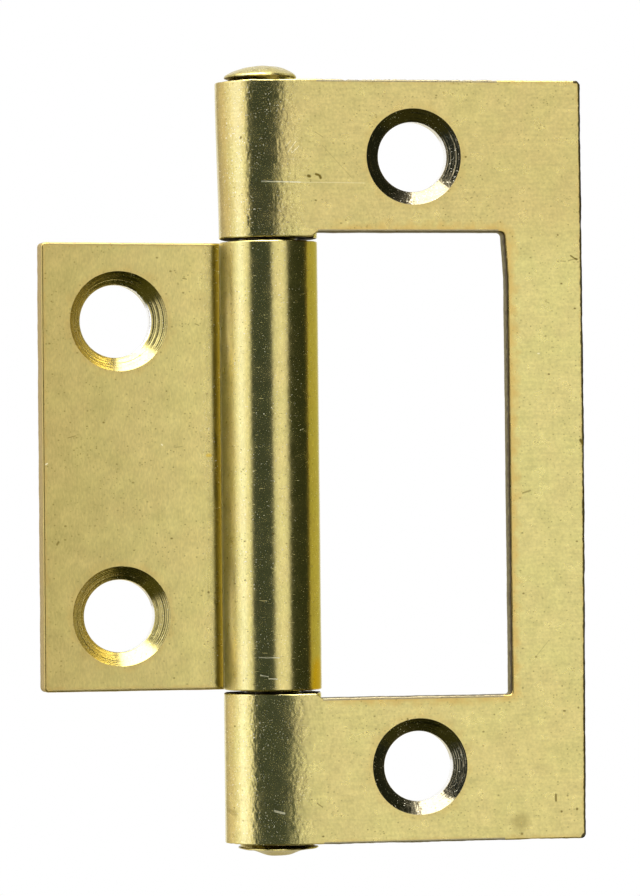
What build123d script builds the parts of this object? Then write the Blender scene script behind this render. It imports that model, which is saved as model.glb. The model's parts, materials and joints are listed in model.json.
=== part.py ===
from build123d import *
import os
from math import asin, cos, degrees, hypot, radians, sin, tan

# A flush hinge for a louvre door, in millimetres. The pin runs along Z through the origin, which is
# half way up the frame leaf. The countersunk faces look to -Y. The frame leaf reaches to +X and the
# door leaf to -X, and the door leaf can swing round the pin and lie inside the frame leaf's window.

# Sheet and knuckles, common to both leaves
sheet = 1.4              # thickness of both blanks
knuckle_r = 3.25         # outer radius of the rolled knuckles
roll_gap = 0.08          # slit left between the end of a roll and the leaf that it curls back to
edge_break = 0.12        # rounding or bevel round the faces of each blank

# Frame leaf
frame_height = 50.0
frame_reach = 20.5       # pin line to the free edge
spine_width = 5.05       # strip between the window and the free edge
top_arm = 10.0
bottom_arm = 9.55
knuckle_step = 0.3       # how far each end knuckle stands into the window past its arm
step_start = 2.75        # pin line to where the arm's inner edge ends
step_slope = 0.4         # length of the slope between the arm's edge and the knuckle's end
frame_corner_r = 0.3
window_corner_r = 0.3
frame_hole_x = 9.2       # pin line to the screw holes
frame_hole_inset = 5.0   # from each end of the leaf to a hole's centre

# Door leaf
end_play = 0.225         # gap between the middle knuckle and each end knuckle
window_side_play = 0.55  # gap between the door leaf's free edge and the window when it is nested
door_corner_r = 0.3
door_hole_x = 9.7
door_hole_inset = 5.0
door_swing = 5.0         # degrees that the door leaf stands forward of flat

# Screw holes, alike in both leaves
hole_r = 2.3
countersink_r = 3.18
countersink_angle = 110.0

# Pin, headed over at both ends
pin_clearance = 0.03     # radial, between the pin and the bore of the knuckles
head_r = 2.5
head_seat_r = 2.2        # the flat ring under each head that bears on the knuckle
head_lift = 0.12         # how far the rim of a head stands off the knuckle's end
head_rim = 0.2           # height of the head's rim
head_height = 1.05       # from the knuckle's end to the crown

bore_r = knuckle_r - sheet
pin_r = bore_r - pin_clearance
frame_top = frame_height / 2
frame_bottom = -frame_height / 2
window_x = frame_reach - spine_width
window_top = frame_top - top_arm
window_bottom = frame_bottom + bottom_arm
upper_knuckle_end = window_top - knuckle_step
lower_knuckle_end = window_bottom + knuckle_step
door_top = upper_knuckle_end - end_play
door_bottom = lower_knuckle_end + end_play
door_reach = window_x - window_side_play
past = 2 * knuckle_r     # how far a cutter runs past the pin line or past what it cuts
same = 0.001             # two places closer than this are one place


def rolled_blank(reach, bottom, top):
    """A flat to +X whose outer face is at y = -knuckle_r, curled clockwise round the pin into a knuckle."""
    roll_end = degrees(asin((bore_r - roll_gap) / knuckle_r))
    sweep = 270 + roll_end
    with BuildPart() as blank:
        with BuildSketch(Plane.XY.offset(bottom)):
            with BuildLine():
                Line((reach, -knuckle_r), (0, -knuckle_r))
                CenterArc((0, 0), knuckle_r, -90, -sweep)
                Line((knuckle_r * cos(radians(roll_end)), -knuckle_r * sin(radians(roll_end))),
                     (bore_r * cos(radians(roll_end)), -bore_r * sin(radians(roll_end))))
                CenterArc((0, 0), bore_r, -roll_end, sweep)
                Line((0, -bore_r), (reach, -bore_r))
                Line((reach, -bore_r), (reach, -knuckle_r))
            make_face()
        extrude(amount=top - bottom)
    return blank.part


def window_cutter():
    """The window through the flat, with the steps where the end knuckles stand into it, and the room
    between the end knuckles for the middle one."""
    slit = roll_gap / 2
    with BuildPart() as flat_cut:
        with BuildSketch(Plane.XZ.offset(bore_r - slit)):
            with BuildLine():
                Polyline((-past, upper_knuckle_end), (step_start - step_slope, upper_knuckle_end),
                         (step_start, window_top), (window_x, window_top), (window_x, window_bottom),
                         (step_start, window_bottom), (step_start - step_slope, lower_knuckle_end),
                         (-past, lower_knuckle_end), close=True)
            face = make_face()
            corner = face.vertices().sort_by(Axis.X)[-2:].sort_by(Axis.Y)[-1]
            fillet(corner, radius=window_corner_r)
        extrude(amount=sheet + past)
    room = Box(2 * past, 2 * past, upper_knuckle_end - lower_knuckle_end,
               align=(Align.CENTER, Align.MIN, Align.MIN))
    return flat_cut.part + Pos(0, slit - bore_r, lower_knuckle_end) * room


def screw_hole(x, z, mouth_y, into):
    """A through hole with a countersink whose mouth is at mouth_y; into is +1 or -1 along Y."""
    depth = (countersink_r - hole_r) / tan(radians(countersink_angle / 2))
    with BuildPart() as tool:
        with BuildSketch(Plane.XY):
            with BuildLine():
                Polyline((0, -past), (countersink_r, -past), (countersink_r, 0), (hole_r, depth),
                         (hole_r, sheet + past), (0, sheet + past), close=True)
            make_face()
        revolve(axis=Axis.Y)
    cutter = tool.part if into > 0 else tool.part.rotate(Axis.X, 180)
    return Pos(x, mouth_y, z) * cutter


def rounded_corners(leaf, reach, radius):
    """Rounds the two corners of the free edge."""
    corners = leaf.edges().filter_by(Axis.Y).filter_by_position(Axis.X, reach - same, reach + same)
    return fillet(corners, radius=radius)


def outline_on(leaf, side_r):
    """The edges that go round one side of the blank: the flat at y = -side_r and the roll of radius side_r."""
    outline = []
    for edge in leaf.edges():
        places = [edge.position_at(share) for share in (0, 0.5, 1)]
        on_flat = all(abs(p.Y + side_r) < same and p.X > -same for p in places)
        on_roll = all(abs(hypot(p.X, p.Y) - side_r) < same for p in places)
        tangent_line = on_flat and all(abs(p.X) < same for p in places)
        roll_end_line = on_roll and not on_flat and abs(places[0].Z - places[-1].Z) > same
        if (on_flat or on_roll) and not tangent_line and not roll_end_line:
            outline.append(edge)
    return outline


def make_frame_leaf():
    leaf = rolled_blank(frame_reach, frame_bottom, frame_top) - window_cutter()
    leaf = rounded_corners(leaf, frame_reach, frame_corner_r)
    leaf = fillet(outline_on(leaf, knuckle_r), radius=edge_break)
    for z in (frame_bottom + frame_hole_inset, frame_top - frame_hole_inset):
        leaf = leaf - screw_hole(frame_hole_x, z, -knuckle_r, 1)
    return leaf


def make_door_leaf():
    leaf = rolled_blank(door_reach, door_bottom, door_top)
    leaf = rounded_corners(leaf, door_reach, door_corner_r)
    leaf = chamfer(outline_on(leaf, knuckle_r) + outline_on(leaf, bore_r), length=edge_break)
    for z in (door_bottom + door_hole_inset, door_top - door_hole_inset):
        leaf = leaf - screw_hole(door_hole_x, z, -bore_r, -1)
    return leaf.rotate(Axis.Z, 180 + door_swing)


def make_hinge_pin():
    shank_top = frame_top
    rim_low = shank_top + head_lift
    rim_high = rim_low + head_rim
    crown = shank_top + head_height
    cap_r = (head_r ** 2 + (crown - rim_high) ** 2) / (2 * (crown - rim_high))
    with BuildPart() as pin:
        with BuildSketch(Plane.XZ):
            with BuildLine():
                Polyline((0, 0), (pin_r, 0), (pin_r, shank_top), (head_seat_r, shank_top),
                         (head_r, rim_low), (head_r, rim_high))
                RadiusArc((head_r, rim_high), (0, crown), -cap_r)
                Line((0, crown), (0, 0))
            make_face()
        revolve(axis=Axis.Z)
        mirror(about=Plane.XY)
    return pin.part


os.makedirs("parts", exist_ok=True)
pieces = {
    "frame_leaf": make_frame_leaf(),
    "door_leaf": make_door_leaf(),
    "hinge_pin": make_hinge_pin(),
}
for name, piece in pieces.items():
    piece.label = name
    export_step(piece, os.path.join("parts", name + ".step"))
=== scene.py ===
import json
import math
from types import SimpleNamespace

import bmesh
import bpy
import numpy as np
from mathutils import Matrix, Vector, kdtree, noise
from mathutils.geometry import delaunay_2d_cdt


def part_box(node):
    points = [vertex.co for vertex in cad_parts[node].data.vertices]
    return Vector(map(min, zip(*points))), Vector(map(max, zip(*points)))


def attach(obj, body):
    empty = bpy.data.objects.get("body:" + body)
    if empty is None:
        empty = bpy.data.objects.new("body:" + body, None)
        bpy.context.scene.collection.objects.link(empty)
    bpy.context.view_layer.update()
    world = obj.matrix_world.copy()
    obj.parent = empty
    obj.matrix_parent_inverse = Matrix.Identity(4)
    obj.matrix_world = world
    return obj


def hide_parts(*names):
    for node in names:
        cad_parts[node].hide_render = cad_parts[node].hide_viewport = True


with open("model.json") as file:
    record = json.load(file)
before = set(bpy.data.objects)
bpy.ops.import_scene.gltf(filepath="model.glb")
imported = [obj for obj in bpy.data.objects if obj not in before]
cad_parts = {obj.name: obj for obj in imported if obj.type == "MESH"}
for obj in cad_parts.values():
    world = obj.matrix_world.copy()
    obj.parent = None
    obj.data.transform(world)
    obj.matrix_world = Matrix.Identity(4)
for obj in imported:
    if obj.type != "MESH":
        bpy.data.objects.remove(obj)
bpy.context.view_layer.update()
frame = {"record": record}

# Sizes are in millimetres and are turned into metres when a mesh is made
MM = 0.001

# The pieces' main sizes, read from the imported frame
mounts = {mount["name"]: mount for mount in frame["record"]["mounts"]}
frame_screws = mounts["frame_leaf_screws"]
door_screws = mounts["door_leaf_screws"]
leaf_low, leaf_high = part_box("frame_leaf")
door_low, door_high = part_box("door_leaf")
knuckle_r = -leaf_low.y / MM
frame_reach = leaf_high.x / MM
frame_top = leaf_high.z / MM
frame_bottom = leaf_low.z / MM
door_top = door_high.z / MM
door_bottom = door_low.z / MM
bore_r = -frame_screws["pos_m"][1] / MM
sheet = knuckle_r - bore_r
frame_hole_x = frame_screws["pos_m"][0] / MM
frame_hole_pitch = frame_screws["dims"]["spacing_y_mm"]
door_hole_pitch = door_screws["dims"]["pcd_mm"]
door_swing = math.atan2(-door_screws["axis"][0], door_screws["axis"][1])
door_hole_x = -(door_screws["pos_m"][0] * math.cos(door_swing)
                + door_screws["pos_m"][1] * math.sin(door_swing)) / MM
door_hole_z = door_screws["pos_m"][2] / MM

# The window, the free edge of the door leaf and the roll, which the frame doesn't name
window_x = 15.45
window_top = 15.0
window_bottom = -15.45
knuckle_step = 0.3
step_start = 2.75
step_slope = 0.4
door_reach = 14.9
roll_gap = 0.08
curl_start = 6.0
roll_length = knuckle_r * (math.radians(270) + math.asin((bore_r - roll_gap) / knuckle_r))

# Each leaf's countersinks: the mouth and bore sizes, the cone's angle, and how far the cutter wandered
frame_mouth_r = 3.16
frame_bore_r = frame_screws["dims"]["hole_r_mm"]
frame_cone = 118.0
frame_hole_drop = 0.05
door_mouth_r = 3.29
door_bore_r = 2.39
door_cone = 104.0
door_hole_drop = 0.1
door_bore_shifts = (0.0, 0.12)

# The cutter's marks in the countersinks: rings across the cone's slope, and chips along them
ring_pitch = 15.0
ring_height = 0.011
chip_height = 0.0012

# The pin: its heads' sizes, how far riveting pushed each off the pin line, and how uneven it left them
pin_clearance = 0.03
shank_r = bore_r - pin_clearance
tall_head_r = 2.37
tall_dome = 0.72
tall_shift = (-0.43, -0.05)
tall_lean = 0.35
flat_head_r = 2.6
flat_dome = 0.52
flat_dome_r = 1.35
flat_shift = (0.28, -0.05)
head_spread = 0.06
head_rise = 0.04

# How finely the meshes are divided
edge_pitch = 0.11
flat_pitch = 0.32
roll_pitch = 0.17
roll_pitch_to = 2.5
corner_steps = 4
cone_rings = 34
hole_steps = 180
pin_steps = 144


def smooth(start, end, value):
    """0 at start and beyond it, 1 at end and beyond it, and an even curve between."""
    share = min(1.0, max(0.0, (value - start) / (end - start)))
    return share * share * (3 - 2 * share)


def rounded(corners, pitch):
    """A closed outline through counter-clockwise (u, z, radius) corners, with points about pitch apart, and
    its inward normals."""
    arcs = []
    for i, (u, z, radius) in enumerate(corners):
        here = np.array([u, z])
        before = np.array(corners[i - 1][:2]) - here
        after = np.array(corners[(i + 1) % len(corners)][:2]) - here
        before /= np.linalg.norm(before)
        after /= np.linalg.norm(after)
        half = math.acos(np.clip(before @ after, -1, 1)) / 2
        run = radius / math.tan(half)
        bisector = (before + after) / np.linalg.norm(before + after)
        centre = here + bisector * radius / math.sin(half)
        start, end = here + before * run - centre, here + after * run - centre
        steps = max(3, round(radius * (math.pi - 2 * half) / pitch * 2))
        turn = math.atan2(start[0] * end[1] - start[1] * end[0], start @ end)
        for k in range(steps + 1):
            a = turn * k / steps
            spoke = (start[0] * math.cos(a) - start[1] * math.sin(a),
                     start[0] * math.sin(a) + start[1] * math.cos(a))
            arcs.append((centre + np.array(spoke), k == steps))
    points = []
    for (place, is_end), (following, _) in zip(arcs, arcs[1:] + arcs[:1]):
        points.append(place)
        if is_end:
            gap = np.linalg.norm(following - place)
            steps = max(1, round(gap / pitch))
            points.extend(place + (following - place) * k / steps for k in range(1, steps))
    points = np.array(points)
    along = np.roll(points, -1, axis=0) - np.roll(points, 1, axis=0)
    along /= np.linalg.norm(along, axis=1)[:, None]
    return points, np.stack([-along[:, 1], along[:, 0]], axis=1)


def circle(u, z, radius):
    """A round hole's outline and the normals that point from it into the sheet."""
    angles = np.arange(hole_steps) * 2 * math.pi / hole_steps
    normals = np.stack([np.cos(angles), np.sin(angles)], axis=1)
    return np.array([u, z]) + normals * radius, normals


def inside(p, loop):
    """Whether a place lies inside a closed loop."""
    u, z = p[0], p[1]
    a, b = loop, np.roll(loop, -1, axis=0)
    crosses = (a[:, 1] > z) != (b[:, 1] > z)
    a, b = a[crosses], b[crosses]
    at = a[:, 0] + (z - a[:, 1]) / (b[:, 1] - a[:, 1]) * (b[:, 0] - a[:, 0])
    return np.count_nonzero(at > u) % 2 == 1


def search_tree(spots):
    """A tree that finds the nearest of some (u, z) places."""
    tree = kdtree.KDTree(len(spots))
    for i, (u, z) in enumerate(spots):
        tree.insert((u, z, 0), i)
    tree.balance()
    return tree


class Blank:
    """A sheet-metal blank, made flat in (u, z) with a depth through the sheet, and then folded.
    Depth 0 is the side that becomes the outside of the knuckle."""

    def __init__(self):
        self.places = []
        self.walls = []
        self.faces = []
        self.sides = {0: [], 1: []}

    def add_loop(self, points, normals, rings, kind):
        """Adds the wall of an outline or a hole, ring by ring from depth 0 to the far side."""
        first = len(self.places)
        count = len(points)
        for inset, depth in rings:
            spots = points + normals * np.asarray(inset).reshape(-1, 1)
            depths = np.broadcast_to(depth, (count,))
            self.places.extend(zip(spots[:, 0], spots[:, 1], depths))
            self.walls.extend([kind] * count)
        for ring in range(len(rings) - 1):
            for k in range(count):
                a = first + ring * count + k
                b = first + ring * count + (k + 1) % count
                quad = (a, b, b + count, a + count)
                self.faces.append(quad if kind == "sheared" else quad[::-1])
        last = first + (len(rings) - 1) * count
        self.sides[0].append(list(range(first, first + count)))
        self.sides[1].append(list(range(last, last + count)))

    def fill(self, side, depth, inner):
        """Fills one side of the sheet between its loops, through the inner points."""
        loops = self.sides[side]
        ids = [i for loop in loops for i in loop]
        flat = [Vector(self.places[i][:2]) for i in ids]
        edges = []
        start = 0
        for loop in loops:
            edges.extend((start + k, start + (k + 1) % len(loop)) for k in range(len(loop)))
            start += len(loop)
        tree = search_tree(flat)
        outer = np.array([self.places[i][:2] for i in loops[0]])
        holes = [np.array([self.places[i][:2] for i in loop]) for loop in loops[1:]]
        kept = [p for p in inner if tree.find((p[0], p[1], 0))[2] > edge_pitch and inside(p, outer)
                and not any(inside(p, hole) for hole in holes)]
        for p in kept:
            ids.append(len(self.places))
            self.places.append((p[0], p[1], depth))
            self.walls.append("face")
            flat.append(Vector(p))
        spots, _, triangles, origins, _, _ = delaunay_2d_cdt(flat, edges, [], 1, 1e-7)
        back = [origin[0] for origin in origins]
        for triangle in triangles:
            middle = sum((spots[i] for i in triangle), Vector((0, 0))) / 3
            if any(inside(middle, hole) for hole in holes):
                continue
            corner = [ids[back[i]] for i in triangle]
            (ax, az), (bx, bz), (cx, cz) = (self.places[i][:2] for i in corner)
            clockwise = (bx - ax) * (cz - az) - (bz - az) * (cx - ax) < 0
            if clockwise == (side == 0):
                corner.reverse()
            self.faces.append(tuple(corner))

    def fill_both(self, reach, bottom, top):
        """Fills both sides over a grid that is finer along u where the sheet is rolled."""
        columns = list(np.arange(-roll_length + roll_pitch, roll_pitch_to, roll_pitch))
        columns += list(np.arange(roll_pitch_to + 0.1, reach, flat_pitch))
        inner = []
        for i, u in enumerate(columns):
            shift = flat_pitch / 2 if i % 2 else 0
            inner.extend((u, z) for z in np.arange(bottom + shift, top, flat_pitch))
        self.fill(0, 0.0, inner)
        self.fill(1, sheet, inner)


def wobble(points, size, seed):
    """Smooth noise from -1 to 1 at places in the blank, in bumps about size across."""
    return np.array([noise.noise(Vector((u / size, z / size, seed * 7.3))) for u, z in points])


def swell(u, z, width, length, seed):
    """Smooth noise from -1 to 1 at one place in the blank, in bumps of width by length."""
    return noise.noise(Vector((u / width, z / length, seed)))


def corner_rings(radius, depth, depth_sign):
    """Ring sizes (inset, depth) round a corner of that radius, from a face at that depth to the wall."""
    rings = []
    for k in range(corner_steps + 1):
        a = math.radians(90 * k / corner_steps)
        rings.append((radius * (1 - math.sin(a)), depth + depth_sign * radius * (1 - math.cos(a))))
    return rings


def outline_rings(points, round_face, round_back, rough, seed):
    """The edge of a sheared sheet: rounded on both faces, with a wall that wanders by rough and is burred
    along the frame leaf's top."""
    wander = wobble(points, 0.35, seed) * rough + wobble(points, 1.6, seed + 1) * rough * 1.5
    burred = (points[:, 1] > frame_top - 0.2) & (points[:, 0] > step_start)
    wander += burred * np.maximum(0, wobble(points, 0.17, seed + 2)) * rough * 3
    rings = []
    for inset, depth in corner_rings(round_face, 0, 1):
        rings.append((inset + wander * (1 - inset / round_face), depth))
    for share in (0.33, 0.66):
        rings.append((wander * (1 - share * 0.4), round_face + (sheet - round_face - round_back) * share))
    for inset, depth in reversed(corner_rings(round_back, sheet, -1)):
        rings.append((inset + wander * (1 - inset / round_back) * 0.5, depth))
    return rings


def countersink_rings(mouth_r, bore, cone_angle, shift, mouth_side, seed):
    """A countersunk hole, as insets from a circle of the bore's size: a cone with the cutter's rings in it,
    and the land below. The bore is shifted along u."""
    angles = np.arange(hole_steps) * 2 * math.pi / hole_steps
    mouth = mouth_r - bore
    half = math.radians(cone_angle / 2)
    chatter = np.array([noise.noise(Vector((math.cos(a) * 1.3, math.sin(a) * 1.3, seed))) for a in angles])
    off = shift * np.cos(angles)
    rings = [(mouth, 0.0)]
    for k in range(1, cone_rings):
        share = k / cone_rings
        groove = noise.noise(Vector((share * ring_pitch, seed * 3.1, 0.0))) * ring_height
        chips = np.array([noise.noise(Vector((math.cos(a) * 11, math.sin(a) * 11, share * 8 + seed)))
                          for a in angles])
        fade = min(1, share * 8, (1 - share) * 8)
        ripple = fade * (groove * (1.0 + chatter) + chips * chip_height)
        inset = mouth * (1 - share) + off * share
        slope = (mouth - inset) / math.tan(half)
        rings.append((inset + ripple * math.cos(half), slope + ripple * math.sin(half)))
    land = (mouth - off) / math.tan(half)
    rings.append((off + 0.01 * chatter, land + 0.015))
    rings.append((off + 0.01 * chatter, (land + sheet) / 2))
    rings.append((off + 0.012 * chatter, sheet - 0.05))
    rings.append((off + 0.05 + 0.01 * chatter, sheet))
    if mouth_side == 1:
        rings = [(inset, sheet - depth) for inset, depth in reversed(rings)]
    return rings


def fold(u, z, depth, lift):
    """Folds a place of the blank round the pin; lift raises it off the sheet's own surface."""
    if u >= 0:
        return (u, -knuckle_r + depth - lift, z)
    angle = -math.pi / 2 + u / knuckle_r
    radius = knuckle_r - depth + lift
    return (radius * math.cos(angle), radius * math.sin(angle), z)


def roll_in(u, ramp):
    """How far the sheet lies inside its ideal line, where the flat runs into the roll over the ramp."""
    if u > ramp:
        return 0.0
    if u > -ramp:
        drop = (ramp - u) ** 3 / (12 * ramp * knuckle_r)
        if u < 0:
            drop -= u * u / (2 * knuckle_r)
    else:
        drop = ramp * ramp / (6 * knuckle_r)
    return drop * math.cos(min(0.0, max(u, -1.5 * knuckle_r)) / knuckle_r)


def new_object(name, mesh):
    """An object for a mesh, in the scene."""
    piece = bpy.data.objects.new(name, mesh)
    bpy.context.scene.collection.objects.link(piece)
    return piece


def keep(mesh, label, numbers, kind="FLOAT", key="value"):
    """Keeps numbers with the points of a mesh."""
    mesh.attributes.new(label, kind, "POINT").data.foreach_set(key, numbers)


def keep_places(mesh, places):
    """Keeps each point's place in the piece's own (u, z, depth)."""
    keep(mesh, "blank_uv", [c for place in places for c in place], "FLOAT_VECTOR", "vector")


def make_object(name, blank, turn, body, replaced, lift_of):
    """Folds a blank into a mesh object that stands for a node of the frame."""
    spin = Matrix.Rotation(turn, 3, "Z")
    verts = [spin @ Vector(fold(u, z, d, lift_of(u, z, d))) * MM for u, z, d in blank.places]
    mesh = bpy.data.meshes.new(name)
    mesh.from_pydata(verts, [], blank.faces)
    mesh.validate()
    outline = [blank.places[i][:2] for side in (0, 1) for i in blank.sides[side][0]]
    mouths = [blank.places[i][:2] for side in (0, 1) for loop in blank.sides[side][1:] for i in loop]
    for label, spots in (("edge", outline), ("mouth", mouths)):
        tree = search_tree(spots)
        keep(mesh, label, [tree.find((u, z, 0))[2] for u, z, _ in blank.places])
    keep_places(mesh, blank.places)
    for kind in ("sheared", "bored"):
        keep(mesh, kind, [float(wall == kind) for wall in blank.walls])
    mesh.shade_smooth()
    mesh.set_sharp_from_angle(angle=math.radians(25))
    piece = new_object(name, mesh)
    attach(piece, body)
    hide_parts(replaced)
    return piece


def make_frame_leaf():
    """The large leaf, with its window and its two tabs rolled into knuckles. The stamped outline leans and
    bows a little, as its corners' numbers say."""
    low_end = window_bottom + knuckle_step
    high_end = window_top - knuckle_step
    corners = [
        (frame_reach - 0.17, frame_bottom, 0.3), (frame_reach, 0.0, 20.0),
        (frame_reach - 0.03, frame_top, 0.3), (-roll_length, frame_top, 0.3),
        (-roll_length, high_end, 0.25), (step_start - step_slope, high_end, 0.2),
        (step_start, window_top, 0.15), (window_x - 0.22, window_top, 0.3),
        (window_x - 0.02, window_top - 3.0, 4.0), (window_x, window_bottom, 0.2),
        (step_start, window_bottom, 0.15), (step_start - step_slope, low_end, 0.2),
        (-roll_length, low_end, 0.25), (-roll_length, frame_bottom, 0.3),
    ]
    blank = Blank()
    points, normals = rounded(corners, edge_pitch)
    blank.add_loop(points, normals, outline_rings(points, 0.09, 0.05, 0.022, 3), "sheared")
    for i, z in enumerate((-frame_hole_pitch / 2, frame_hole_pitch / 2)):
        points, normals = circle(frame_hole_x, z - frame_hole_drop, frame_bore_r)
        rings = countersink_rings(frame_mouth_r, frame_bore_r, frame_cone, 0.0, 0, 2.1 + i)
        blank.add_loop(points, normals, rings, "bored")
    blank.fill_both(frame_reach, frame_bottom, frame_top)

    def lift(u, z, depth):
        """The sheet's waves, its dent by the middle knuckle, and the top curl's loose end."""
        wave = swell(u, z, 4.0, 5.0, 1.7) * 0.012 + swell(u, z, 1.3, 1.5, 5.1) * 0.002
        loose = smooth(window_top - 1, frame_top, z) * smooth(-2.7, -5.3, u) * smooth(-14.0, -9.0, u)
        dent = smooth(-1.6, -0.3, u) * smooth(1.6, 0.5, u) * smooth(18.0, 15.5, z) * smooth(0.0, 10.0, z)
        ramp = 1.8 + 0.5 * smooth(window_top, frame_top, z) if z > 0 else 3.2
        return wave - roll_in(u, ramp) * (1 - depth / sheet) + loose * 0.2 - dent * 0.02

    return make_object("frame_leaf_brass", blank, 0.0, "frame_side", "frame_leaf", lift)


def make_door_leaf():
    """The small leaf, whose inner edge is rolled into the middle knuckle."""
    corners = [
        (door_reach + 0.03, door_bottom, 0.3), (door_reach - 0.03, door_top + 0.08, 0.3),
        (-roll_length, door_top, 0.3), (-roll_length, door_bottom, 0.3),
        (knuckle_r, door_bottom - 0.06, 6.0),
    ]
    blank = Blank()
    points, normals = rounded(corners, edge_pitch)
    blank.add_loop(points, normals, outline_rings(points, 0.10, 0.12, 0.015, 8), "sheared")
    for i, z in enumerate((door_hole_z - door_hole_pitch / 2, door_hole_z + door_hole_pitch / 2)):
        points, normals = circle(door_hole_x, z - door_hole_drop, door_bore_r)
        rings = countersink_rings(door_mouth_r, door_bore_r, door_cone, door_bore_shifts[i], 1, 4.6 + i)
        blank.add_loop(points, normals, rings, "bored")
    blank.fill_both(door_reach, door_bottom, door_top)

    def lift(u, z, depth):
        """The sheet's waves, and the easy bend that its countersunk face makes towards the knuckle."""
        wave = swell(u, z, 4.0, 6.0, 11.7) * 0.01 + swell(u, z, 1.3, 1.5, 15.1) * 0.002
        curl = (curl_start - min(curl_start, max(knuckle_r, u))) ** 3 / (12 * curl_start * knuckle_r)
        return wave - curl * smooth(0.0, knuckle_r, u) * depth / sheet

    return make_object("door_leaf_brass", blank, math.pi + door_swing, "door_side", "door_leaf", lift)


def head(radius, dome, rim):
    """A head as (radius, height above the knuckle's end), from its crown over its rim to the shank."""
    return dome + [(radius + out, height) for out, height in rim] + [(shank_r + pin_clearance, 0.0)]


def tall_head():
    angles = [k * math.pi / 32 for k in range(16)]
    dome = [(tall_head_r * math.sin(a), 0.42 + tall_dome * math.cos(a) ** 1.6) for a in angles]
    return head(tall_head_r, dome, [(0.0, 0.40), (0.03, 0.36), (0.01, 0.30), (-0.09, 0.24), (-0.17, 0.04)])


def flat_head():
    radii = [0.2 * k for k in range(13)]
    dome = [(r, 0.36 + flat_dome / (1 + (r / flat_dome_r) ** 4)) for r in radii]
    return head(flat_head_r, dome, [(-0.04, 0.38), (0.02, 0.35), (0.0, 0.29), (-0.15, 0.25), (-0.35, 0.04)])


def pin_place(r, z, side, a):
    """A place on the pin at angle a. The side is 1 on the top head, -1 on the low one and 0 between."""
    beyond = max(0.0, abs(z) - frame_top)
    share = min(1.0, beyond / 0.3) if side else 0.0
    spread = noise.noise(Vector((math.cos(a), math.sin(a), 3.0 * side)) * 1.2)
    spread *= head_spread * share * min(1.0, r / 2)
    rise = noise.noise(Vector((r * math.cos(a) * 1.3, r * math.sin(a) * 1.3, 4 + side * 3))) * head_rise
    shift = tall_shift if side > 0 else flat_shift
    lean = tall_lean * max(0.0, beyond - 0.45) if side > 0 else 0.0
    x = (r + spread) * math.cos(a) + shift[0] * share + lean
    y = (r + spread) * math.sin(a) + shift[1] * share
    return Vector((x, y, z + rise * share * side)) * MM


def make_pin():
    """The pin with its two heads, each spread by the riveting tool a little off the pin line."""
    rows = [(r, frame_top + height, 1.0) for r, height in tall_head()]
    rows += [(shank_r, z, 0.0) for z in (frame_top - 0.05, 5.0, -5.0, frame_bottom + 0.05)]
    rows += [(r, frame_bottom - height, -1.0) for r, height in reversed(flat_head())]
    angles = [k * 2 * math.pi / pin_steps for k in range(pin_steps)]
    verts = [pin_place(r, z, side, a) for r, z, side in rows for a in angles]
    faces = []
    for i in range(len(rows) - 1):
        for k in range(pin_steps):
            a = i * pin_steps + k
            b = i * pin_steps + (k + 1) % pin_steps
            faces.append((a, a + pin_steps, b + pin_steps, b))
    mesh = bpy.data.meshes.new("hinge_pin_brass")
    mesh.from_pydata(verts, [], faces)
    join_crowns(mesh)
    keep_places(mesh, [vert.co / MM for vert in mesh.vertices])
    keep(mesh, "bored", [1.0] * len(mesh.vertices))
    mesh.shade_smooth()
    mesh.set_sharp_from_angle(angle=math.radians(50))
    piece = new_object("hinge_pin_brass", mesh)
    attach(piece, "frame_side")
    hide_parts("hinge_pin")
    return piece


def join_crowns(mesh):
    """Joins the doubled points at the two crowns."""
    bm = bmesh.new()
    bm.from_mesh(mesh)
    bmesh.ops.remove_doubles(bm, verts=bm.verts, dist=1e-7)
    bmesh.ops.recalc_face_normals(bm, faces=bm.faces)
    bm.to_mesh(mesh)
    bm.free()


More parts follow.
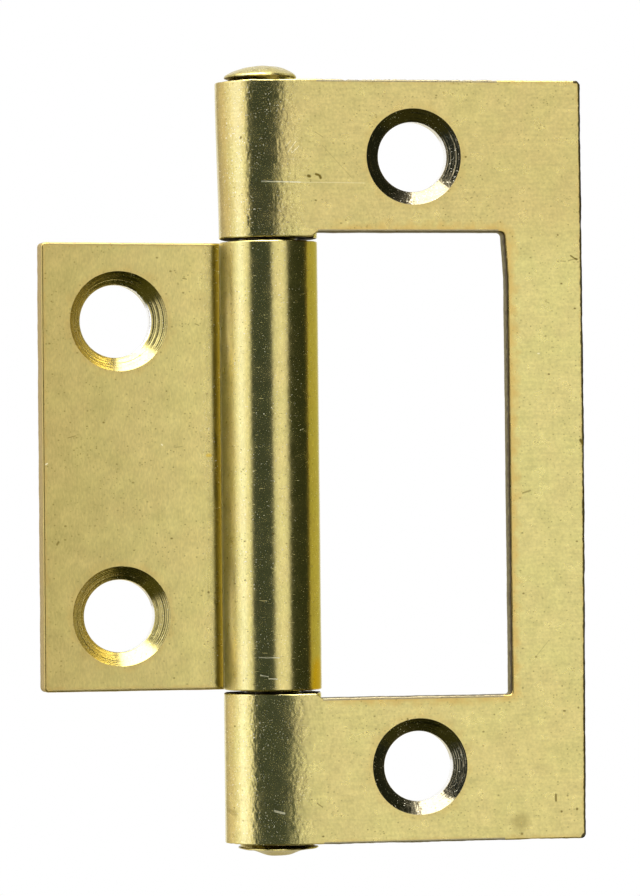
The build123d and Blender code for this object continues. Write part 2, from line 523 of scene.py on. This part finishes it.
class Nodes:
    """Short calls for putting a node tree together."""

    def __init__(self, tree):
        self.tree = tree

    def put(self, socket, value):
        """Links an output to a socket, or sets the socket to a plain value."""
        if isinstance(value, bpy.types.NodeSocket):
            self.tree.links.new(value, socket)
        elif value is not None:
            socket.default_value = value

    def math(self, operation, a, b=None):
        node = self.tree.nodes.new("ShaderNodeMath")
        node.operation = operation
        self.put(node.inputs[0], a)
        self.put(node.inputs[1], b)
        return node.outputs[0]

    def above(self, value, limit):
        return self.math("GREATER_THAN", value, limit)

    def below(self, value, limit):
        return self.math("LESS_THAN", value, limit)

    def product(self, first, *others):
        for other in others:
            first = self.math("MULTIPLY", first, other)
        return first

    def highest(self, first, *others):
        for other in others:
            first = self.math("MAXIMUM", first, other)
        return first

    def vector(self, operation, a, b):
        node = self.tree.nodes.new("ShaderNodeVectorMath")
        node.operation = operation
        self.put(node.inputs[0], a)
        self.put(node.inputs[1], b)
        return node.outputs["Value" if operation in ("DOT_PRODUCT", "DISTANCE") else "Vector"]

    def scale(self, colour, amount):
        """The colour times an amount."""
        node = self.tree.nodes.new("ShaderNodeVectorMath")
        node.operation = "SCALE"
        self.put(node.inputs[0], colour)
        self.put(node.inputs["Scale"], amount)
        return node.outputs[0]

    def parts(self, vector):
        """A vector's X, Y and Z outputs."""
        node = self.tree.nodes.new("ShaderNodeSeparateXYZ")
        self.put(node.inputs[0], vector)
        return node.outputs

    def attribute(self, name, output):
        node = self.tree.nodes.new("ShaderNodeAttribute")
        node.attribute_name = name
        return node.outputs[output]

    def span(self, value, low, high, out_low=0.0, out_high=1.0):
        """The value, taken from the range low to high into the other range and held at its ends."""
        node = self.tree.nodes.new("ShaderNodeMapRange")
        self.put(node.inputs["Value"], value)
        ends = (("From Min", low), ("From Max", high), ("To Min", out_low), ("To Max", out_high))
        for name, number in ends:
            node.inputs[name].default_value = number
        return node.outputs["Result"]

    def tint(self, share, colour, other):
        """The colour, mixed with the other one by share."""
        node = self.tree.nodes.new("ShaderNodeMix")
        node.data_type = "RGBA"
        self.put(node.inputs["Factor"], share)
        for socket, value in ((node.inputs[6], colour), (node.inputs[7], other)):
            self.put(socket, value if isinstance(value, bpy.types.NodeSocket) else (*value, 1))
        return node.outputs[2]


# The colours of the brass's wear, and of the painted shade and painted highlights among them
white = (1.0, 1.0, 1.0)
# Painted dark reflection on the ragged edges
torn_colour = (0.05, 0.04, 0.015)
# Painted shade on the cut walls that face the gaps between the knuckles
grime_colour = (0.16, 0.13, 0.06)
# Painted highlight on the lands below the cones
land_colour = (0.93, 0.92, 0.88)
pit_colour = (0.16, 0.11, 0.012)
# Painted glints on the roll's flecks
fleck_colour = (1.0, 0.95, 0.75)
# Scratches painted pale as glints, and a painted highlight line
scratch_colour = (1.0, 0.93, 0.62)
# Painted shade on the pin's shank where it shows in the gaps
hidden_colour = (0.05, 0.04, 0.02)
glancing_tint = (0.2, 0.16, 0.08)

# The same as shares of the brass's own red, green and blue
green_blotch = (0.985, 0.995, 0.98)
peach_blotch = (1.015, 0.99, 1.01)
edge_tarnish = (0.88, 0.70, 0.55)
window_tarnish = (0.97, 0.78, 0.62)
# Painted shade in the crease where the door leaf meets its knuckle
fold_grime = (0.5, 0.45, 0.2)
orange_stain = (1.15, 0.9, 0.1)

# How rough the brass is where it is pitted, scratched, torn or rubbed
worn_rough = 0.45


class Brass(Nodes):
    """One piece's bright rolled brass. Each method lays one kind of wear, or of painted shade and painted
    highlight, over the colour, and keeps the shares that later ones need."""

    def __init__(self, name, tone, look):
        self.material = bpy.data.materials.new(name)
        self.material.use_nodes = True
        self.shader = self.material.node_tree.nodes["Principled BSDF"]
        self.tone = tone
        self.look = look
        super().__init__(self.material.node_tree)
        self.place = self.attribute("blank_uv", "Vector")
        self.edge = self.attribute("edge", "Fac")
        self.bored = self.walls("bored")
        self.faced = self.math("SUBTRACT", 1.0, self.bored)
        self.axes = self.parts(self.place)
        self.u, self.z, self.depth = (self.axes[axis] for axis in "XYZ")
        self.spot = self.vector("MULTIPLY", self.place, (1, 1, 0))
        self.lip = self.torn = self.cut = self.cone = self.light = 0.0

    def walls(self, kind):
        """1 on the walls of one kind, 0 elsewhere."""
        return self.above(self.attribute(kind, "Fac"), 0.98)

    def toned(self, shares):
        """A share of the brass's own colour."""
        return tuple(c * k for c, k in zip(self.tone, shares))

    def moved(self, stretch, shift):
        """The piece's places in a texture that is moved by shift. Stretch is how many bumps or cells there
        are to a millimetre, as one number or along each axis."""
        stretch = stretch if isinstance(stretch, tuple) else (stretch,) * 3
        place = self.vector("MULTIPLY", self.place, stretch)
        return self.vector("ADD", place, (shift, shift * 1.7, shift * 0.6))

    def noise(self, stretch, shift, detail=1.0):
        node = self.tree.nodes.new("ShaderNodeTexNoise")
        self.put(node.inputs["Vector"], self.moved(stretch, shift))
        node.inputs["Scale"].default_value = 1.0
        node.inputs["Detail"].default_value = detail
        return node.outputs[0]

    def spots(self, stretch, shift, size):
        """Up to 1 in the middle of scattered round spots, 0 outside them; size is their radius in cells."""
        node = self.tree.nodes.new("ShaderNodeTexVoronoi")
        self.put(node.inputs["Vector"], self.moved(stretch, shift))
        node.inputs["Scale"].default_value = 1.0
        dark = self.span(node.outputs["Distance"], size, size * 0.4)
        pick = self.tree.nodes.new("ShaderNodeSeparateColor")
        self.put(pick.inputs[0], node.outputs["Color"])
        return self.product(dark, self.span(pick.outputs[0], 0.35, 1.0))

    def mottle(self, stretch, shift, detail, low, high):
        """Noise over the piece, from low to high."""
        return self.span(self.noise(stretch, shift, detail), 0.3, 0.7, low, high)

    def dot(self, centre, radius, strength):
        """The strength in a round dot at a (u, z) place in the blank, 0 outside it."""
        gap = self.vector("DISTANCE", self.spot, (*centre, 0))
        return self.span(gap, radius, radius * 0.4, 0.0, strength)

    def scratch(self, start, end, width, strength):
        """The strength on a straight scratch between two (u, z) places in the blank, 0 beside it."""
        a, b = Vector((*start, 0)), Vector((*end, 0))
        away = self.vector("SUBTRACT", self.spot, tuple(a))
        dot = self.vector("DOT_PRODUCT", away, tuple(b - a))
        share = self.span(self.math("DIVIDE", dot, (b - a).length_squared), 0.0, 1.0)
        foot = self.scale(tuple(b - a), share)
        gap = self.vector("DISTANCE", away, foot)
        return self.span(gap, width, width * 0.4, 0.0, strength)

    def rolled(self):
        """The bare brass: blotches, clouds, streaks along its grain and speckles, with broad painted shade
        over the piece.
        """
        look = self.look
        blotch = self.span(self.noise(0.45, 3.0), 0.35, 0.65)
        colour = self.tint(blotch, self.toned(green_blotch), self.toned(peach_blotch))
        cloud = self.mottle(1.1, 8.0, 3.0, 0.95, 1.045)
        streak = self.mottle((*look.grain, 1.0), 5.0, 1.0, 0.96, 1.04)
        speckle = self.mottle(look.speckle, 1.0, 1.0, 0.93, 1.07)
        colour = self.scale(colour, self.product(cloud, streak, speckle))
        # Painted shade: each entry darkens the colour towards its tint along one axis.
        for axis, start, finish, shade in look.shades:
            there = self.span(self.axes[axis], start, finish)
            colour = self.vector("MULTIPLY", colour, self.tint(there, white, shade))
        return colour

    def tarnished(self, colour):
        """Tarnish beside the cut edges, round the countersinks and round the window."""
        rag = self.mottle(1.4, 2.0, 3.0, -0.3, 0.3)
        by_edge = self.span(self.math("ADD", self.edge, self.product(rag, 0.4)), 0.25, 0.02, 0.0, 0.45)
        by_edge = self.product(by_edge, self.span(self.u, 2.0, 3.0))
        mouth = self.math("ADD", self.attribute("mouth", "Fac"), rag)
        by_mouth = self.span(mouth, 0.5, 0.05, 0.0, 0.3)
        share = self.product(self.highest(by_edge, by_mouth), self.faced)
        colour = self.tint(share, colour, self.toned(edge_tarnish))
        if self.look.window:
            inside_u = self.product(self.span(self.u, window_x + 1.6, window_x + 1.2),
                                    self.span(self.u, step_start, step_start + 2))
            height = self.math("ABSOLUTE", self.z)
            inside_z = self.span(height, window_top + 1.4, window_top + 1.0)
            by_window = self.span(self.math("ADD", self.edge, rag), 0.65, 0.05, 0.0, 0.8)
            by_window = self.product(by_window, self.faced, inside_u, inside_z)
            colour = self.tint(by_window, colour, self.toned(window_tarnish))
        return colour

    def edged(self, colour):
        """Pale worn lips, and a painted dark reflection on the ragged corner at the far edge and down the
        window's right side.
        """
        look = self.look
        self.lip = self.product(self.span(self.edge, 0.1, 0.04), self.above(self.u, step_start),
                                self.faced, self.below(self.u, look.lip_to))
        colour = self.tint(self.product(self.lip, 0.7), colour, look.lip_tint)
        ragged = self.math("ADD", self.edge, self.mottle(3.0, 6.0, 3.0, -0.03, 0.03))
        # Painted dark reflection: the ragged corner of the far edge, and the wall down the window's right
        # side, are painted near black.
        torn = self.span(ragged, 0.09, 0.05, 0.0, 0.95)
        torn = self.product(torn, self.above(self.u, look.torn_from))
        if look.window:
            height = self.math("ABSOLUTE", self.z)
            beside = self.product(self.above(self.u, window_x - 0.6), self.below(self.u, window_x + 0.5),
                                  self.below(height, window_top + 0.2))
            turned = self.product(self.span(self.depth, 0.003, 0.03, 0.0, 0.95),
                                  self.span(self.depth, 0.2, 0.1))
            torn = self.highest(torn, self.product(turned, beside))
        self.torn = self.product(torn, self.below(self.depth, sheet / 2))
        return self.tint(self.torn, colour, torn_colour)

    def sheared(self, colour):
        """The cut walls: burnished by the blade near one face, with a tear zone below, and painted shade
        near the knuckles where they face the gaps between them.
        """
        look = self.look
        self.cut = self.product(self.walls("sheared"), self.span(self.depth, 0.03, 0.1),
                                self.span(self.depth, sheet - 0.03, sheet - 0.1))
        split = self.math("ADD", self.depth, self.mottle(2.5, 1.0, 3.0, -0.35, 0.35))
        wall = self.tint(self.span(split, 0.45, 0.75), look.burnish, look.tear)
        # Painted shade: walls below u 3, which face the gaps between the knuckles, are darkened.
        wall = self.tint(self.span(self.u, 3.0, 2.6), wall, grime_colour)
        return self.tint(self.product(self.cut, 0.9), colour, wall)

    def countersunk(self, colour):
        """Cones darkened as painted shade, lands below them painted near white as a highlight, and painted
        shade in the crease where the door leaf meets its knuckle.
        """
        look = self.look
        shallow, deep = look.cone_depth
        self.cone = self.product(self.bored, self.above(self.depth, shallow), self.below(self.depth, deep))
        # Painted shade: the cones' colour is darkened in place of the dark reflections in the countersinks,
        # with more blue kept so the lamp's reflection in them turns white.
        colour = self.tint(self.cone, colour, self.vector("MULTIPLY", colour, look.cone_tint))
        # Painted highlight: the lands below the cones are painted near white.
        colour = self.tint(self.math("SUBTRACT", self.bored, self.cone), colour, land_colour)
        # Painted shade along the crease where the door leaf's face meets its knuckle
        for mark in look.grime:
            share = self.product(self.scratch(*mark), self.above(self.depth, sheet / 2))
            colour = self.tint(share, colour, self.toned(fold_grime))
        return colour

    def hidden(self, colour):
        """Painted shade on the pin's shank, dark inside the knuckles where it shows through the gaps. Its
        depth is its height.
        """
        height = self.math("ABSOLUTE", self.depth)
        share = self.span(height, frame_top - 0.02, frame_top - 0.06)
        return self.tint(share, colour, hidden_colour)

    def pitted(self, colour):
        """Pits and clustered grit, and the dark marks that the photo shows one by one."""
        look = self.look
        dark = self.spots((1.1, 1.5, 1.1), 4.0, 0.10 * look.pits)
        fine = self.product(self.spots((2.6, 3.2, 2.6), 9.0, 0.17 * look.pits), 0.65)
        self.clustered = self.span(self.noise(0.6, 21.0), 0.48, 0.6)
        grit = self.product(self.spots((4.6, 5.2, 4.6), 2.0, 0.3), self.clustered, 0.75)
        dark = self.highest(dark, fine, grit)
        for mark in look.dark_marks:
            dark = self.highest(dark, self.scratch(*mark))
        for mark in look.dark_dots:
            dark = self.highest(dark, self.dot(*mark))
        self.dark = dark
        return self.tint(self.product(dark, 0.9), colour, pit_colour)

    def flecked(self, colour):
        """Flecks on the roll: rubbed spots, painted pale as glints."""
        look = self.look
        self.flat = self.product(self.span(self.u, *look.flat_from), self.faced)
        fleck = self.span(self.noise(8.0, 12.0), look.fleck, look.fleck + 0.04)
        self.fleck = self.product(fleck, self.span(self.clustered, 0.0, 1.0, 0.6, 1.0))
        # Painted highlight: flecks on the roll are painted pale as glints.
        on_roll = self.product(self.fleck, self.span(self.flat, 0.0, 1.0, 0.7, 0.0))
        return self.tint(on_roll, colour, fleck_colour)

    def scratched(self, colour):
        """The bright scratches, painted pale as glints, a painted highlight line down the door knuckle's
        limb, and the orange stains, that the photo shows one by one.
        """
        look = self.look
        for mark in look.light_marks:
            # Scratches painted pale as glints, and on the door a painted highlight line down its knuckle's
            # limb
            share = self.scratch(*mark)
            colour = self.tint(share, colour, scratch_colour)
            self.light = self.highest(self.light, share)
        for mark in look.stains:
            colour = self.tint(self.scratch(*mark), colour, self.toned(orange_stain))
        return colour

    def finished(self, colour):
        """The material. Its flats are duller than the roll and the cones, and fine rubs scatter the light:
        dashes across the roll, flecks and wear."""
        look = self.look
        self.put(self.shader.inputs["Base Color"], colour)
        self.shader.inputs["Metallic"].default_value = 1.0
        smoothness = self.mottle(1.0, 15.0, 2.0, -0.04, 0.05)
        rough = self.span(self.flat, 0.0, 1.0, look.roll_rough, look.flat_rough)
        rough = self.math("ADD", rough, smoothness)
        rough = self.math("ADD", rough, self.product(self.cone, look.cone_rough - look.roll_rough))
        limb = self.span(self.u, *look.dull_limb, 0.0, 0.14)
        rough = self.math("ADD", rough, self.product(limb, self.faced))
        dash = self.span(self.noise((1.6, 10.0, 1.6), 7.0), look.dash, look.dash + 0.03)
        rubbed = self.span(self.flat, 0.0, 1.0, worn_rough, 0.0)
        rubbed = self.product(self.highest(dash, self.fleck), rubbed)
        worn = self.product(self.highest(self.dark, self.cut, self.lip, self.light), worn_rough)
        self.put(self.shader.inputs["Roughness"], self.highest(rough, rubbed, worn))
        glancing = self.highest(self.torn, self.product(self.cut, look.grey_tear))
        self.put(self.shader.inputs["Specular Tint"], self.tint(glancing, white, glancing_tint))

        bump = self.tree.nodes.new("ShaderNodeBump")
        bump.inputs["Strength"].default_value = 1.0
        bump.inputs["Distance"].default_value = look.ripple_height * MM
        self.put(bump.inputs["Height"], self.noise(look.ripple, 11.0))
        self.put(self.shader.inputs["Normal"], bump.outputs[0])
        return self.material


def leaf_brass(name, tone, look):
    """A leaf's brass: pitted, scratched, and tarnished at its cut edges and holes."""
    brass = Brass(name, tone, look)
    colour = brass.tarnished(brass.rolled())
    colour = brass.sheared(brass.edged(colour))
    colour = brass.pitted(brass.countersunk(colour))
    colour = brass.scratched(brass.flecked(colour))
    return brass.finished(colour)


def pin_brass(name, tone, look):
    """The pin's brass: painted shade on its shank inside the knuckles, with pitted heads."""
    brass = Brass(name, tone, look)
    colour = brass.hidden(brass.rolled())
    colour = brass.flecked(brass.pitted(colour))
    return brass.finished(colour)


# The studio's lamps, cards and flags at the hinge's own height, as (azimuth, strength, colour), with the
# azimuth in degrees from the viewer's side
lamp = (1.0, 1.06, 1.35)
cool_flag = (0.9, 1.15, 1.15)
warm_card = (1.0, 0.92, 0.25)
tan_card = (1.0, 0.91, 0.8)
dark_card = (0.85, 1.0, 0.6)
horizon = [
    (-180, 0.84, white), (-162, 0.5, tan_card), (-136, 0.62, tan_card), (-122, 0.84, tan_card),
    (-110, 0.96, tan_card), (-100, 1.06, white), (-91, 1.25, white), (-84, 1.46, lamp), (-74, 1.46, lamp),
    (-65, 1.27, white), (-59, 1.14, white), (-51, 0.07, cool_flag), (-5, 0.075, cool_flag), (1, 0.95, white),
    (14, 1.13, white), (25, 1.1, white), (32, 0.8, white), (38, 0.055, dark_card), (60, 0.05, dark_card),
    (84, 0.045, dark_card), (96, 0.54, warm_card), (136, 0.6, warm_card), (180, 0.84, white),
]

# The lamps, cards and flags above and below
overhead = (6.5, 6.5, 6.5)
grey_card = (0.22, 0.22, 0.22)
left_lamp = (2.8, 2.8, 2.8)
low_flag = (0.1, 0.1, 0.025)
floor_flag = (0.022, 0.025, 0.008)
back_card = (0.72, 0.67, 0.5)

# The lit shell: its radius in metres, its steps in degrees, and where its back is open between its sides
shell_r = 2.0
shell_step = 2
side_reach = 150
side_height = 30
back_floor = -8
open_behind = 0.15


def blend(light, other, share):
    """The light, turned into the other one by share."""
    return light + (np.array(other) - light) * share


def studio_light(azimuth, elevation):
    """The studio's light in a direction from the hinge, in degrees."""
    azimuths = [row[0] for row in horizon]
    levels = [[strength * colour[c] for _, strength, colour in horizon] for c in range(3)]
    light = np.array([np.interp(azimuth, azimuths, level) for level in levels])
    a, e = math.radians(azimuth), math.radians(elevation)
    x, z = math.sin(a) * math.cos(e), math.sin(e)
    on_left = smooth(-116, -108, azimuth) * smooth(-56, -62, azimuth)
    light = blend(light, left_lamp, smooth(15, 30, elevation) * on_left)
    light = blend(light, grey_card, smooth(48, 60, elevation))
    lean = math.degrees(math.atan2(x, z))
    light = blend(light, overhead, smooth(0.55, 0.65, z) * smooth(-38, -33, lean) * smooth(18, 13, lean))
    if abs(azimuth) > 100:
        return blend(light, back_card, smooth(-7, -11, elevation))
    light = blend(light, low_flag, smooth(-24, -34, elevation))
    return blend(light, floor_flag, smooth(-56, -64, elevation))


def direction(azimuth, elevation):
    """The unit vector at an azimuth from the viewer's side and an elevation, in degrees."""
    a, e = math.radians(azimuth), math.radians(elevation)
    return Vector((math.sin(a) * math.cos(e), -math.cos(a) * math.cos(e), math.sin(e)))


def studio_shell():
    """The lamps, grey cards and dark flags round the hinge, as one lit shell that only the metal sees.
    It is open behind, where the metal sees the white background."""
    azimuths = list(range(-180, 180, shell_step))
    elevations = list(range(-90, 91, shell_step))
    verts = []
    levels = []
    for elevation in elevations:
        for azimuth in azimuths:
            verts.append(direction(azimuth, elevation) * shell_r)
            levels.extend((*studio_light(azimuth, elevation), 1.0))
    faces = []
    across = len(azimuths)
    for i, elevation in enumerate(elevations[:-1]):
        for k, azimuth in enumerate(azimuths):
            behind = direction(azimuth, elevation).y > open_behind and elevation >= back_floor
            beside = -side_height <= elevation < side_height and -side_reach <= azimuth < side_reach
            if behind and not beside:
                continue
            a, b = i * across + k, i * across + (k + 1) % across
            faces.append((a, b, b + across, a + across))
    mesh = bpy.data.meshes.new("studio_shell")
    mesh.from_pydata(verts, [], faces)
    keep(mesh, "light", levels, "FLOAT_COLOR", "color")
    mesh.materials.append(studio_lights())
    shell = new_object("studio_shell", mesh)
    shell.visible_camera = False
    shell.visible_diffuse = False
    shell.visible_shadow = False


def studio_lights():
    """The shell's glow, as bright as the mesh's own colours."""
    material = bpy.data.materials.new("studio_lights")
    material.use_nodes = True
    tree = material.node_tree
    tree.nodes.clear()
    nodes = Nodes(tree)
    glow = tree.nodes.new("ShaderNodeEmission")
    nodes.put(glow.inputs["Color"], nodes.attribute("light", "Color"))
    nodes.put(tree.nodes.new("ShaderNodeOutputMaterial").inputs[0], glow.outputs[0])
    material.cycles.emission_sampling = "NONE"
    return material


def studio_world():
    """A plain world, white to the camera and in the metal."""
    world = bpy.data.worlds.new("studio")
    world.use_nodes = True
    bpy.context.scene.world = world
    world.cycles.sampling_method = "NONE"
    tree = world.node_tree
    tree.nodes.clear()
    nodes = Nodes(tree)
    plain = tree.nodes.new("ShaderNodeBackground")
    plain.inputs["Color"].default_value = (0.9, 0.9, 0.9, 1)
    bright = tree.nodes.new("ShaderNodeBackground")
    bright.inputs["Color"].default_value = (1, 1, 1, 1)
    path = tree.nodes.new("ShaderNodeLightPath")
    seen = nodes.highest(path.outputs["Is Camera Ray"], path.outputs["Is Glossy Ray"],
                         path.outputs["Is Transmission Ray"])
    mix = tree.nodes.new("ShaderNodeMixShader")
    for socket, output in zip(mix.inputs, (seen, plain.outputs[0], bright.outputs[0])):
        nodes.put(socket, output)
    nodes.put(tree.nodes.new("ShaderNodeOutputWorld").inputs[0], mix.outputs[0])


def camera():
    """The photograph's camera, from a fit to the hinge's edges and holes."""
    azimuth, elevation, roll = -10.672, -0.547, math.radians(-0.607)
    target = Vector((3.348, 0, 0.909))
    distance = 289.577
    focal_px = 4384.5
    long_side_px = 896
    back = direction(azimuth, elevation)
    right = (-back).cross(Vector((0, 0, 1))).normalized()
    up = right.cross(-back)
    rolled_right = right * math.cos(roll) + up * math.sin(roll)
    rolled_up = up * math.cos(roll) - right * math.sin(roll)
    data = bpy.data.cameras.new("camera")
    data.sensor_width = 36.0
    data.lens = focal_px * data.sensor_width / long_side_px
    data.clip_start = 0.01
    view = new_object("camera", data)
    turn = Matrix((rolled_right, rolled_up, back)).transposed().to_4x4()
    view.matrix_world = Matrix.Translation((target + back * distance) * MM) @ turn
    bpy.context.scene.camera = view


def floor():
    """A pale floor below the hinge, in metres."""
    bpy.ops.mesh.primitive_circle_add(vertices=96, radius=0.5, fill_type="NGON", location=(0, 0, -0.12))
    disc = bpy.context.object
    disc.name = "floor"
    material = bpy.data.materials.new("floor_white")
    material.use_nodes = True
    shader = material.node_tree.nodes["Principled BSDF"]
    shader.inputs["Base Color"].default_value = (0.9, 0.9, 0.9, 1)
    shader.inputs["Roughness"].default_value = 0.8
    disc.data.materials.append(material)
    disc.visible_glossy = False


# What each piece's brass looks like. Marks are (start, end, half width, strength) and dots are (centre,
# radius, strength), each place as (u, z) in the blank. Painted shades are (axis, start, finish, tint):
# painted shade that reaches the tint from start to finish. The pairs flat_from and dull_limb are the u where
# a change starts and ends.
frame_look = SimpleNamespace(
    grain=(0.5, 5.0), speckle=(6.0, 6.0, 6.0), pits=1.2, dash=0.75, fleck=0.66,
    ripple=(3.4, 2.4, 3.0), ripple_height=0.018,
    flat_from=(-0.5, 2.5), dull_limb=(-50, -60), roll_rough=0.18, flat_rough=0.3,
    # The cone tint darkens the cones as painted shade.
    cone_tint=(0.37, 0.38, 0.62), cone_rough=0.15, cone_depth=(-0.1, 0.53), grime=[],
    lip_tint=(0.3, 0.28, 0.22), lip_to=window_x - 0.6, torn_from=frame_reach - 0.5, window=True,
    burnish=(0.03, 0.02, 0.006), tear=(0.2, 0.18, 0.08), grey_tear=0.35,
    stains=[],
    # Painted shade: the top arm darker and warmer, the low arm a trace darker.
    shades=[("Y", 13.0, 16.0, (0.93, 0.885, 0.87)), ("Y", -13.0, -16.0, (1.0, 0.98, 0.975))],
    dark_marks=[
        ((2.15, 18.66), (2.24, 18.64), 0.14, 1.0), ((2.66, 18.77), (2.83, 18.72), 0.11, 1.0),
        ((2.9, 18.68), (2.97, 18.53), 0.12, 1.0), ((2.63, 21.53), (3.15, 21.2), 0.035, 0.5),
        ((3.08, 20.68), (5.06, 18.52), 0.03, 0.3), ((-2.5, 21.2), (-2.45, 21.24), 0.11, 0.9),
        ((19.72, 13.43), (19.92, 13.3), 0.07, 0.9), ((20.0, 13.24), (20.13, 13.2), 0.09, 1.0),
        ((19.55, 13.09), (19.95, 13.22), 0.045, 0.6), ((19.05, 13.08), (19.35, 13.06), 0.05, 0.5),
        ((18.84, 14.8), (18.86, 14.8), 0.08, 0.8), ((17.94, 10.44), (18.21, 10.31), 0.05, 0.5),
        ((18.9, -16.6), (19.0, -16.6), 0.07, 0.9), ((17.04, -13.01), (17.96, -11.91), 0.03, 0.35),
        ((16.3, -2.2), (16.8, -2.05), 0.08, 0.6), ((20.25, 1.25), (20.4, 1.0), 0.14, 1.0),
        ((8.38, -16.9), (8.44, -17.15), 0.07, 0.8), ((18.31, -22.1), (18.31, -22.5), 0.09, 0.9),
        ((2.3, -22.3), (2.65, -22.55), 0.05, 0.7), ((-4.7, -22.75), (-3.7, -23.0), 0.25, 0.3),
    ],
    dark_dots=[
        ((15.78, 14.7), 0.07, 0.6), ((16.35, 13.9), 0.08, 0.5), ((16.9, 12.28), 0.07, 0.6),
        ((17.1, 12.6), 0.06, 0.5), ((16.15, -15.03), 0.09, 0.5), ((17.07, -13.0), 0.09, 0.8),
        ((14.2, -16.74), 0.08, 0.7), ((18.82, -14.95), 0.08, 0.6), ((19.9, -16.4), 0.09, 0.8),
        ((16.0, 10.6), 0.06, 0.5), ((17.4, 11.2), 0.06, 0.4), ((15.9, -23.85), 0.8, 0.4),
        ((18.68, -23.22), 0.1, 0.9), ((19.73, -23.08), 0.12, 0.9), ((19.1, -22.18), 0.09, 0.6),
        ((15.98, -24.62), 0.13, 0.8),
    ],
    light_marks=[
        ((-0.95, 18.31), (1.59, 18.25), 0.05, 0.9), ((1.59, 18.25), (5.92, 18.2), 0.03, 0.35),
        ((0.82, 20.21), (1.36, 20.93), 0.03, 0.6), ((1.08, 20.15), (1.55, 20.61), 0.03, 0.6),
        ((0.7, 20.6), (1.0, 20.95), 0.03, 0.5), ((17.42, 6.98), (17.5, 6.98), 0.06, 0.7),
        ((-0.5, -22.76), (0.15, -22.92), 0.11, 1.0),
    ],
)
door_look = SimpleNamespace(
    grain=(7.0, 2.5), speckle=(9.0, 3.5, 8.0), pits=1.3, dash=0.71, fleck=0.69,
    ripple=(3.0, 3.0, 3.0), ripple_height=0.005,
    flat_from=(2.9, 4.6), dull_limb=(-12.9, -14.1), roll_rough=0.17, flat_rough=0.35,
    # The cone tint darkens the cones as painted shade.
    cone_tint=(0.78, 0.78, 0.8), cone_rough=0.19, cone_depth=(sheet - 0.72, sheet + 0.1),
    # Painted shade along the crease beside the knuckle
    grime=[((3.12, -14.8), (3.12, 14.4), 0.35, 0.9)],
    lip_tint=(0.5, 0.41, 0.18), lip_to=door_reach - 0.5, torn_from=door_reach + 1, window=False,
    burnish=(0.55, 0.42, 0.17), tear=(0.6, 0.47, 0.2), grey_tear=0.35,
    stains=[((-7.5, -15.2), (-7.3, -13.6), 1.0, 1.0), ((3.8, 0.5), (3.6, 0.5), 0.15, 0.6)],
    # Painted shade: the leaf darker towards its free edge.
    shades=[("X", 4.5, 14.5, (0.82, 0.78, 0.71))],
    dark_marks=[
        ((12.7, 1.85), (13.2, 1.72), 0.04, 0.6), ((5.5, 1.1), (5.95, 1.05), 0.03, 0.5),
        ((14.0, -5.25), (13.9, -5.1), 0.1, 0.7), ((5.35, 12.2), (5.1, 12.15), 0.05, 0.7),
        ((4.55, 9.2), (4.3, 9.1), 0.05, 0.6),
    ],
    dark_dots=[
        ((3.56, -12.2), 0.08, 0.7), ((3.19, -12.1), 0.09, 0.8), ((3.0, -12.0), 0.07, 0.7),
        ((3.83, -8.54), 0.1, 0.9), ((4.29, -8.74), 0.06, 0.6), ((5.4, -6.11), 0.07, 0.5),
        ((5.91, 12.71), 0.06, 0.6), ((6.88, 7.32), 0.08, 0.6), ((3.7, -11.0), 0.06, 0.6),
        ((3.4, -3.2), 0.06, 0.6),
    ],
    light_marks=[
        ((6.85, 1.2), (6.9, 1.25), 0.06, 0.8), ((14.6, 0.05), (14.7, 0.0), 0.06, 0.8),
        # Painted highlight: the long mark at u -15.42 is a pale line down the knuckle's limb.
        ((-15.42, -14.8), (-15.42, 14.3), 0.17, 0.8), ((-8.95, 2.05), (-8.65, 2.15), 0.07, 1.0),
        ((-11.9, -12.74), (-10.6, -12.76), 0.045, 0.9), ((-11.85, -13.89), (-11.35, -13.99), 0.05, 1.0),
        ((-11.3, -14.13), (-10.75, -14.15), 0.05, 1.0),
    ],
)
pin_look = SimpleNamespace(
    grain=(3.0, 3.0), speckle=(7.0, 7.0, 7.0), pits=2.2, dash=0.75, fleck=0.68,
    ripple=(2.5, 2.5, 2.5), ripple_height=0.01,
    flat_from=(50, 60), dull_limb=(-50, -60), roll_rough=0.28, flat_rough=0.28, cone_rough=0.28,
    grey_tear=0.0, dark_marks=[], dark_dots=[],
    # Painted shade: both heads darker, the low one much darker.
    shades=[("Z", 25.0, 25.3, (0.8, 0.77, 0.72)), ("Z", -25.0, -25.4, (0.66, 0.63, 0.5))],
)

frame_piece = make_frame_leaf()
frame_piece.data.materials.append(leaf_brass("frame_leaf_brass", (0.73, 0.64, 0.247), frame_look))
door_piece = make_door_leaf()
# Painted shade: the door leaf's tone is set a little darker than the frame leaf's.
door_piece.data.materials.append(leaf_brass("door_leaf_brass", (0.685, 0.585, 0.221), door_look))
pin_piece = make_pin()
pin_piece.data.materials.append(pin_brass("hinge_pin_brass", (0.75, 0.66, 0.267), pin_look))
studio_world()
studio_shell()
floor()
camera()
bpy.context.scene.view_settings.view_transform = "Standard"
